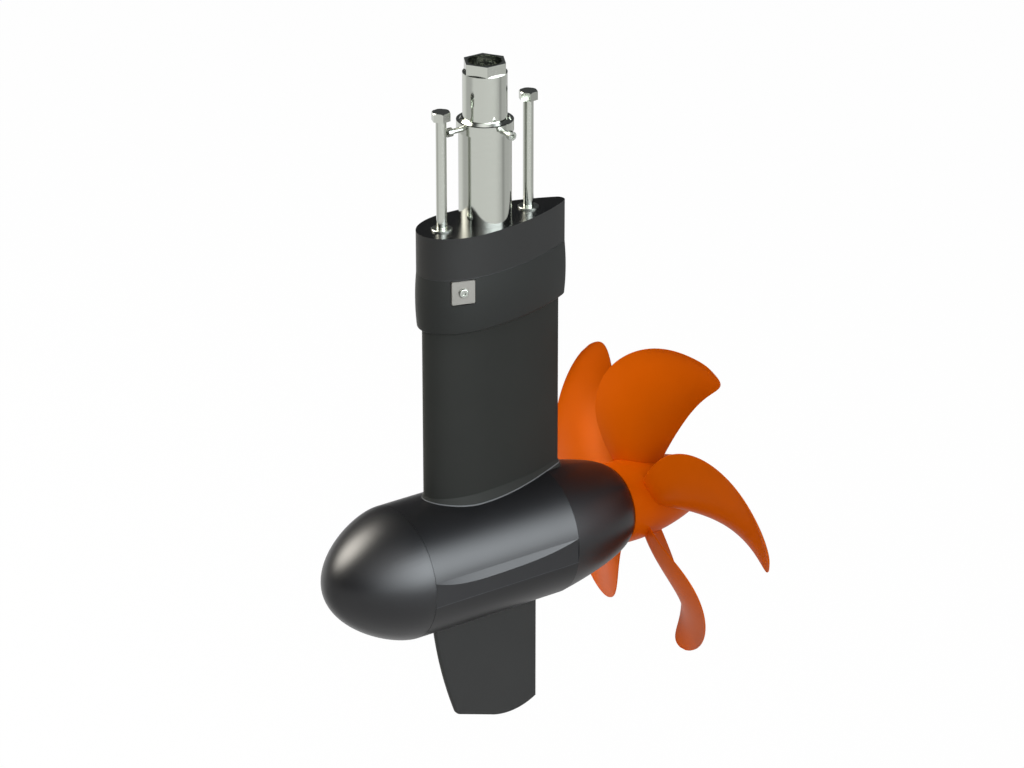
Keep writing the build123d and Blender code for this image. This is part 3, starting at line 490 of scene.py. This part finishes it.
def enamel_material(name, scene):
    """Smooth black enamel of the pod."""
    return skin_material(
        name, scene.pod_colours.pod, scene.pod_gloss.pod_roughness, spread=0.04, depth=0.000008,
        specular=0.4,
    )


def housing_material(name, scene):
    """Enamel of the housing with a painted highlight line along the lower edge of each side flat."""
    material = enamel_material(name, scene)
    tree, shader = opened(material)
    rise = maths(tree, "SUBTRACT", own_place(tree)["Z"], POD_AXIS_Z)
    # Painted highlight: a thin band six times lighter than the enamel, along the flat's lower edge
    painted_light_line = band(tree, rise, middle=-FLAT_HALF_HEIGHT, half_width=0.0003, soft=0.0003)
    blend_input(tree, shader, "Base Color", painted_light_line, scaled(scene.pod_colours.pod, 6))
    return material


def collar_material(name, colour, walls, top):
    """Collar skin whose level top face is polished and darkened with painted shade, and whose walls are
    satin.
    """
    material = skin_material(name, colour, walls, grain=3000.0, specular=0.12)
    tree, shader = opened(material)
    upwards = split(tree, tree.nodes.new("ShaderNodeNewGeometry").outputs["True Normal"])["Z"]
    level = maths(tree, "GREATER_THAN", upwards, LEVEL_FROM)
    blend_input(tree, shader, "Roughness", level, top)
    # Painted shade: the level top face's colour is made twelve times darker
    blend_input(tree, shader, "Base Color", level, scaled(colour, 1 / 12))
    tree.links.new(maths(tree, "MULTIPLY", level, 0.4), shader.inputs["Coat Weight"])
    shader.inputs["Coat Roughness"].default_value = top
    return material


def dress(name, material):
    """Gives a CAD node its material."""
    mesh = nodes[name].data
    mesh.materials.clear()
    mesh.materials.append(material)


# Housing shell


def new_object(name, data):
    """Object in the scene."""
    item = bpy.data.objects.new(name, data)
    bpy.context.scene.collection.objects.link(item)
    return item


def scallop_drop(share):
    """How far the scallop reaches below the crease at a share of its half length, fuller ahead."""
    return SCALLOP_DROP * (1 - abs(share) ** 3) * (1 - SCALLOP_LEAN * share)


def scallop_cutter(side):
    """Wedge that cuts the scallop out of the flat on one side, as a mesh object."""
    front, back = HOUSING_ENDS
    middle, half = (front + back) / 2, (back - front) / 2
    flat = sqrt(POD_RADIUS ** 2 - FLAT_HALF_HEIGHT ** 2)
    crease = POD_AXIS_Z + FLAT_HALF_HEIGHT - SCALLOP_CREASE_GAP
    outside = flat + SCALLOP_OVERSHOOT
    points = []
    for k in range(SCALLOP_STATIONS + 1):
        share = 2 * k / SCALLOP_STATIONS - 1
        drop = scallop_drop(share) - SCALLOP_CREASE_GAP
        x = middle + half * share
        points.append((x, side * outside, crease - drop - SCALLOP_OVERSHOOT / SCALLOP_SLOPE))
        points.append((x, side * (flat - SCALLOP_SLOPE * drop), crease))
        points.append((x, side * outside, crease))
    faces = [(0, 1, 2), tuple(3 * SCALLOP_STATIONS + j for j in range(3))]
    for k in range(SCALLOP_STATIONS):
        for j in range(3):
            near, far = 3 * k + j, 3 * k + (j + 1) % 3
            faces.append((near, far, far + 3, near + 3))
    mesh = bpy.data.meshes.new("Scallop_cutter")
    mesh.from_pydata(points, [], faces)
    form = bmesh.new()
    form.from_mesh(mesh)
    bmesh.ops.recalc_face_normals(form, faces=form.faces)
    form.to_mesh(mesh)
    form.free()
    return new_object("Scallop_cutter", mesh)


def housing_shell():
    """The housing with the scallop cut into both flats, which stands for the CAD housing."""
    mesh = nodes["motor_housing"].data.copy()
    form = bmesh.new()
    form.from_mesh(mesh)
    bmesh.ops.remove_doubles(form, verts=form.verts, dist=WELD_DISTANCE)
    form.to_mesh(mesh)
    form.free()
    shell = new_object("housing_shell", mesh)
    cutters = [scallop_cutter(side) for side in (-1, 1)]
    for cutter in cutters:
        cut = shell.modifiers.new("Scallop", "BOOLEAN")
        cut.operation = "DIFFERENCE"
        cut.solver = "EXACT"
        cut.object = cutter
    cut_mesh = bpy.data.meshes.new_from_object(shell.evaluated_get(bpy.context.evaluated_depsgraph_get()))
    shell.modifiers.clear()
    shell.data = cut_mesh
    for cutter in cutters:
        bpy.data.objects.remove(cutter)
    if cut_mesh.has_custom_normals:
        cut_mesh.attributes.remove(cut_mesh.attributes["custom_normal"])
    cut_mesh.shade_smooth()
    cut_mesh.set_sharp_from_angle(angle=SHARP_FROM)
    if len(cut_mesh.polygons) <= len(mesh.polygons):
        raise RuntimeError("the scallop left the housing as it was")
    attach(shell, "pod")
    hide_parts("motor_housing")
    return shell


# Operators, one for each piece or group of like pieces


class POD_OT_leg(bpy.types.Operator):
    """Finish the leg in satin black with a painted highlight along the lip at its foot"""

    bl_idname = "pod.leg"
    bl_label = "Leg"

    def execute(self, context):
        satin = skin_material(
            "Leg satin black", context.scene.pod_colours.leg, roughness=0.5, specular=0.06
        )
        tree, shader = opened(satin)
        place = own_place(tree)
        from_axis = distance(tree, place["Y"], maths(tree, "SUBTRACT", place["Z"], POD_AXIS_Z))
        # Painted highlight: a thin light band on the leg's colour where its foot meets the pod
        lip_highlight = band(tree, from_axis, middle=POD_RADIUS + LIP_STAND_OFF, half_width=0.0005, soft=0.0004)
        blend_input(tree, shader, "Base Color", lip_highlight, LIP_HIGHLIGHT_COLOUR)
        dress("leg", satin)
        return {"FINISHED"}


class POD_OT_collar(bpy.types.Operator):
    """Finish both halves of the hull collar"""

    bl_idname = "pod.collar"
    bl_label = "Collar"

    def execute(self, context):
        colours = context.scene.pod_colours
        gloss = context.scene.pod_gloss
        upper = collar_material(
            "Upper collar charcoal", colours.upper_collar, gloss.collar_roughness, gloss.top_roughness
        )
        dress("upper_collar", upper)
        lower = skin_material(
            "Lower collar black", colours.lower_collar, gloss.collar_roughness, specular=0.12
        )
        dress("lower_collar", lower)
        return {"FINISHED"}


class POD_OT_casings(bpy.types.Operator):
    """Finish the nose cone and rear cover in black enamel"""

    bl_idname = "pod.casings"
    bl_label = "Pod casings"

    def execute(self, context):
        enamel = enamel_material("Pod black enamel", context.scene)
        for name in ("nose_cone", "rear_cover"):
            dress(name, enamel)
        return {"FINISHED"}


class POD_OT_housing(bpy.types.Operator):
    """Build the motor housing with its scalloped flats and finish it in black enamel"""

    bl_idname = "pod.housing"
    bl_label = "Motor housing"

    def execute(self, context):
        enamel = housing_material("Housing enamel", context.scene)
        dress("motor_housing", enamel)
        shell = housing_shell()
        shell.data.materials.clear()
        shell.data.materials.append(enamel)
        return {"FINISHED"}


class POD_OT_fin(bpy.types.Operator):
    """Finish the fin"""

    bl_idname = "pod.fin"
    bl_label = "Fin"

    def execute(self, context):
        charcoal = skin_material(
            "Fin charcoal", context.scene.pod_colours.fin, roughness=0.5, specular=0.15
        )
        dress("fin", charcoal)
        return {"FINISHED"}


class POD_OT_propeller(bpy.types.Operator):
    """Finish the propeller in satin orange"""

    bl_idname = "pod.propeller"
    bl_label = "Propeller"

    def execute(self, context):
        colour = context.scene.pod_colours.propeller
        roughness = context.scene.pod_gloss.propeller_roughness
        orange = skin_material("Propeller orange", colour, roughness, grain=1800.0)
        shader = opened(orange)[1]
        shader.inputs["Specular Tint"].default_value = (1.0, 0.45, 0.08, 1.0)
        shader.inputs["IOR"].default_value = 1.15
        dress("propeller", orange)
        return {"FINISHED"}


class POD_OT_stem(bpy.types.Operator):
    """Finish the stem's tubes, ring and screws in steel, with a painted shadow line on the outer tube under
    the ring
    """

    bl_idname = "pod.stem"
    bl_label = "Stem"

    def execute(self, context):
        scene = context.scene
        steel = steel_material("Stem polished steel", scene)
        for name in ("inner_tube", "clamp_ring"):
            dress(name, steel)
        # Painted shade: the clamp screws' steel is made darker as well as rougher
        dress("clamp_screws", steel_material("Clamp steel with painted shade", scene, share=0.7, rougher=0.14))
        tube = steel_material("Outer tube polished steel", scene)
        tree, shader = opened(tube)
        height = own_place(tree)["Z"]
        # Painted shadow: a thin band at half the steel's colour just under the ring's foot
        painted_light_line = band(tree, height, middle=RING_FOOT_Z - 0.0004, half_width=0.0003, soft=0.0004)
        blend_input(tree, shader, "Base Color", painted_light_line, scaled(scene.pod_colours.steel, 0.5))
        dress("outer_tube", tube)
        return {"FINISHED"}


class POD_OT_hull_bolts(bpy.types.Operator):
    """Finish the hull bolts, their washers and the anode screws"""

    bl_idname = "pod.hull_bolts"
    bl_label = "Hull bolts"

    def execute(self, context):
        dress("hull_bolts", steel_material("Bolt bright steel", context.scene, rougher=0.03))
        # Painted shade: the washers' and anode screws' steel is made darker as well as rougher
        shaded_steel = steel_material("Washer steel with painted shade", context.scene, share=0.62, rougher=0.18)
        for name in ("hull_washers", "anode_screws"):
            dress(name, shaded_steel)
        return {"FINISHED"}


class POD_OT_anodes(bpy.types.Operator):
    """Finish the anode plates"""

    bl_idname = "pod.anodes"
    bl_label = "Anodes"

    def execute(self, context):
        cast = metal_material(
            "Anode cast metal", context.scene.pod_colours.anode, roughness=0.42, spread=0.15,
            squeeze=(900.0, 900.0, 900.0), depth=0.00002,
        )
        dress("anodes", cast)
        return {"FINISHED"}


class POD_OT_inner_parts(bpy.types.Operator):
    """Finish the seals, gaskets, cable gland, motor, bearings, fasteners and electronics"""

    bl_idname = "pod.inner_parts"
    bl_label = "Inner parts"

    def execute(self, context):
        finishes = {
            metal_material("Machined steel", (0.50, 0.50, 0.50), 0.22): (
                "stem_floor_screws", "leg_screws", "fin_screws", "front_bearing", "rear_bearing",
                "bearing_circlip", "end_plate_screws", "drive_shaft", "thrust_washer", "drive_pin",
                "propeller_washer", "propeller_nut",
            ),
            metal_material(
                "Core laminations", (0.22, 0.22, 0.24), 0.4, squeeze=(3000.0, 40.0, 40.0)
            ): ("stator_core", "rotor_core"),
            metal_material("Winding copper", (0.72, 0.30, 0.14), 0.3, squeeze=(40.0, 1200.0, 1200.0)): (
                "stator_windings",
            ),
            metal_material("Magnet nickel", (0.45, 0.44, 0.42), 0.35): ("rotor_magnets",),
            metal_material("Milled aluminium", (0.66, 0.66, 0.67), 0.3): (
                "end_plate", "heat_sink", "board_standoffs",
            ),
            metal_material("Insert brass", (0.68, 0.48, 0.18), 0.28): ("threaded_inserts",),
            skin_material("Seal rubber", (0.012, 0.012, 0.012), 0.6, grain=1500.0): (
                "collar_gasket", "foot_gasket", "stem_seal", "nose_seal", "rear_seal", "shaft_seals",
            ),
            skin_material("Gland nylon", (0.42, 0.43, 0.44), 0.4, grain=1500.0): ("cable_gland",),
            skin_material("Board lacquer", (0.01, 0.10, 0.03), 0.3, grain=600.0): ("controller_board",),
            skin_material("Capacitor sleeve", (0.01, 0.01, 0.03), 0.35): ("capacitors",),
        }
        for material, names in finishes.items():
            for name in names:
                dress(name, material)
        return {"FINISHED"}


# Studio


def facing(place, aim, track):
    """Rotation that turns an object's track axis from its place to a point."""
    return (Vector(aim) - Vector(place)).to_track_quat(track, "Y").to_euler()


def square_sheet(name, side, place, aim, material):
    """Flat square sheet whose face looks at a point."""
    mesh = bpy.data.meshes.new(name)
    r = side / 2
    mesh.from_pydata([(-r, -r, 0), (r, -r, 0), (r, r, 0), (-r, r, 0)], [], [(0, 1, 2, 3)])
    mesh.materials.append(material)
    sheet = new_object(name, mesh)
    sheet.location = place
    sheet.rotation_euler = facing(place, aim, "Z")
    return sheet


def only_mirrored(sheet):
    """Keeps a light sheet out of everything except mirror reflections."""
    sheet.visible_camera = False
    sheet.visible_diffuse = False
    sheet.visible_shadow = False


def light_wall(radius, floor_z, material):
    """Upright sheet bent round the stem on the port side."""
    mesh = bpy.data.meshes.new("Light_wall")
    headings = [radians(WALL_START + WALL_SPAN * k / WALL_STEPS) for k in range(WALL_STEPS + 1)]
    feet = [(radius * cos(a), radius * sin(a), floor_z) for a in headings]
    heads = [(x, y, z + WALL_HEIGHT) for x, y, z in feet]
    count = len(feet)
    faces = [(k, k + 1, count + k + 1, count + k) for k in range(WALL_STEPS)]
    mesh.from_pydata(feet + heads, [], faces)
    mesh.materials.append(material)
    wall = new_object("Light_wall", mesh)
    only_mirrored(wall)


def softbox(name, place, size, power, colour):
    """Rectangular studio light that looks at the object and shows in no mirror."""
    lamp = bpy.data.lights.new(name, "AREA")
    lamp.shape = "RECTANGLE"
    lamp.size, lamp.size_y = size
    lamp.energy = power
    lamp.color = colour
    light = new_object(name, lamp)
    light.location = place
    light.rotation_euler = facing(place, STUDIO_MIDDLE, "-Z")
    light.visible_camera = False
    light.visible_glossy = False


def floor_material():
    """Pale floor that the camera sees as white ground and a mirror sees dimmer at some headings."""
    material, tree, shader = new_material("Studio floor white")
    tree.nodes.remove(shader)
    paint = tree.nodes.new("ShaderNodeBsdfDiffuse")
    paint.inputs["Color"].default_value = (*FLOOR_PAINT, 1.0)
    glow = tree.nodes.new("ShaderNodeEmission")
    glow.inputs["Color"].default_value = (*PLAIN_WHITE, 1.0)
    path = tree.nodes.new("ShaderNodeLightPath")
    dim = 0.0
    for low, high, soft, share in FLOOR_DIMMING:
        dim = maths(tree, "ADD", dim, maths(tree, "MULTIPLY", heading_window(tree, low, high, soft), share))
    dim = maths(tree, "MULTIPLY", dim, path.outputs["Is Glossy Ray"])
    tree.links.new(maths(tree, "SUBTRACT", 1.0, dim), glow.inputs["Strength"])
    seen = maths(tree, "MAXIMUM", path.outputs["Is Camera Ray"], path.outputs["Is Glossy Ray"])
    seen = maths(tree, "MAXIMUM", seen, path.outputs["Is Transmission Ray"])
    mix = tree.nodes.new("ShaderNodeMixShader")
    tree.links.new(maths(tree, "MULTIPLY", seen, FLOOR_GLOW_SHARE), mix.inputs[0])
    tree.links.new(paint.outputs[0], mix.inputs[1])
    tree.links.new(glow.outputs[0], mix.inputs[2])
    tree.links.new(mix.outputs[0], tree.nodes["Material Output"].inputs["Surface"])
    return material


def glow_material(name, colour):
    """See-through light sheet that only adds light. Returns it with its tree and its strength socket."""
    material, tree, shader = new_material(name)
    tree.nodes.remove(shader)
    glow = tree.nodes.new("ShaderNodeEmission")
    glow.inputs["Color"].default_value = (*colour, 1.0)
    both = tree.nodes.new("ShaderNodeAddShader")
    tree.links.new(glow.outputs[0], both.inputs[0])
    tree.links.new(tree.nodes.new("ShaderNodeBsdfTransparent").outputs[0], both.inputs[1])
    tree.links.new(both.outputs[0], tree.nodes["Material Output"].inputs["Surface"])
    return material, tree, glow.inputs["Strength"]


def wall_material(glow_strength, floor_z):
    """Light wall that is brightest about a quarter of the way up and fades towards its edges."""
    material, tree, strength = glow_material("Studio light wall", WALL_COLOUR)
    height = studio_place(tree)["Z"]
    foot = ramp(tree, height, floor_z, floor_z + WALL_FULL_HEIGHT, WALL_FOOT_SHARE, 1.0)
    head = ramp(tree, height, floor_z + WALL_FADE_START, floor_z + WALL_FADE_END, 1.0, 0.0)
    level = maths(tree, "MULTIPLY", foot, head)
    for low, high, soft in WALL_WINDOWS:
        level = maths(tree, "MULTIPLY", level, heading_window(tree, low, high, soft))
    tree.links.new(maths(tree, "MULTIPLY", level, glow_strength), strength)
    return material


def card_material(name, colour, glow_strength, reach):
    """Light card that fades from its middle to its edges."""
    material, tree, strength = glow_material(name, colour)
    place = own_place(tree)
    away = distance(tree, place["X"], place["Y"])
    level = ramp(tree, away, CARD_CORE * reach, reach, 1.0, 0.0)
    tree.links.new(maths(tree, "MULTIPLY", level, glow_strength), strength)
    return material


def set_world():
    """Dim surround above the floor, darker still where a surface mirrors it."""
    world = bpy.data.worlds.new("Studio surround")
    bpy.context.scene.world = world
    world.use_nodes = True
    tree = world.node_tree
    ground = tree.nodes["Background"]
    ground.inputs["Color"].default_value = (*SURROUND_COLOUR, 1.0)
    path = tree.nodes.new("ShaderNodeLightPath")
    cut = maths(tree, "MULTIPLY", path.outputs["Is Glossy Ray"], SURROUND_MIRROR_CUT)
    tree.links.new(maths(tree, "SUBTRACT", SURROUND_LEVEL, cut), ground.inputs["Strength"])


def set_reflections(studio, floor_z):
    """Light wall and cards, which show only in what the object mirrors."""
    light_wall(studio.wall_radius, floor_z, wall_material(studio.wall_glow, floor_z))
    bow_glow = card_material("Studio bow card", WARM_WHITE, studio.bow_glow, BOW_CARD_REACH)
    only_mirrored(square_sheet("Bow_card", BOW_CARD_SIDE, BOW_PLACE, STUDIO_MIDDLE, bow_glow))
    halo_glow = card_material("Studio halo card", PLAIN_WHITE, studio.halo_glow, HALO_CARD_REACH)
    only_mirrored(square_sheet("Halo_card", HALO_CARD_SIDE, HALO_PLACE, STUDIO_MIDDLE, halo_glow))


def set_camera(scene, studio):
    """Camera at the photograph's place, angle and focal length."""
    lens = bpy.data.cameras.new("Photo_camera")
    lens.sensor_width = SENSOR_WIDTH
    lens.lens = studio.lens
    lens.clip_end = SIGHT_LIMIT
    camera = new_object("Photo_camera", lens)
    camera.location = studio.camera_place
    camera.rotation_euler = (pi / 2 - studio.camera_height, 0.0, studio.camera_heading)
    scene.camera = camera


class POD_OT_stage(bpy.types.Operator):
    """Set up the floor, the lights and the camera at the photograph's angle"""

    bl_idname = "pod.stage"
    bl_label = "Stage"

    def execute(self, context):
        scene = context.scene
        studio = scene.pod_studio
        scene.view_settings.view_transform = "Standard"
        set_world()
        floor_z = cad_box[0][2] - studio.floor_drop
        square_sheet("Studio_floor", FLOOR_SIDE, (0, 0, floor_z), (0, 0, floor_z + 1), floor_material())
        set_reflections(studio, floor_z)
        softbox("Bow_softbox", BOW_PLACE, size=(0.9, 0.9), power=studio.bow_power, colour=WARM_WHITE)
        softbox("Port_softbox", PORT_PLACE, size=(1.6, 1.2), power=studio.port_power, colour=COOL_WHITE)
        softbox("Top_softbox", TOP_PLACE, size=(1.6, 1.6), power=studio.top_power, colour=PLAIN_WHITE)
        set_camera(scene, studio)
        return {"FINISHED"}


class POD_PT_panel(bpy.types.Panel):
    """Lists the pod drive's operators and settings"""

    bl_label = "Pod drive"
    bl_idname = "POD_PT_panel"
    bl_space_type = "VIEW_3D"
    bl_region_type = "UI"
    bl_category = "Pod drive"

    def draw(self, context):
        layout = self.layout
        for operator in OPERATORS:
            layout.operator(operator.bl_idname)
        for group in (context.scene.pod_colours, context.scene.pod_gloss, context.scene.pod_studio):
            for label in group.bl_rna.properties.keys():
                if label not in ("rna_type", "name"):
                    layout.prop(group, label)


OPERATORS = (
    POD_OT_leg,
    POD_OT_collar,
    POD_OT_casings,
    POD_OT_housing,
    POD_OT_fin,
    POD_OT_propeller,
    POD_OT_stem,
    POD_OT_hull_bolts,
    POD_OT_anodes,
    POD_OT_inner_parts,
    POD_OT_stage,
)
CLASSES = (PodColours, PodGloss, PodStudio, *OPERATORS, POD_PT_panel)


def register():
    for item in CLASSES:
        bpy.utils.register_class(item)
    bpy.types.Scene.pod_colours = PointerProperty(type=PodColours)
    bpy.types.Scene.pod_gloss = PointerProperty(type=PodGloss)
    bpy.types.Scene.pod_studio = PointerProperty(type=PodStudio)


def unregister():
    del bpy.types.Scene.pod_colours
    del bpy.types.Scene.pod_gloss
    del bpy.types.Scene.pod_studio
    for item in reversed(CLASSES):
        bpy.utils.unregister_class(item)


def main():
    register()
    for operator in OPERATORS:
        group, name = operator.bl_idname.split(".")
        getattr(getattr(bpy.ops, group), name)()


if __name__ == "__main__":
    main()
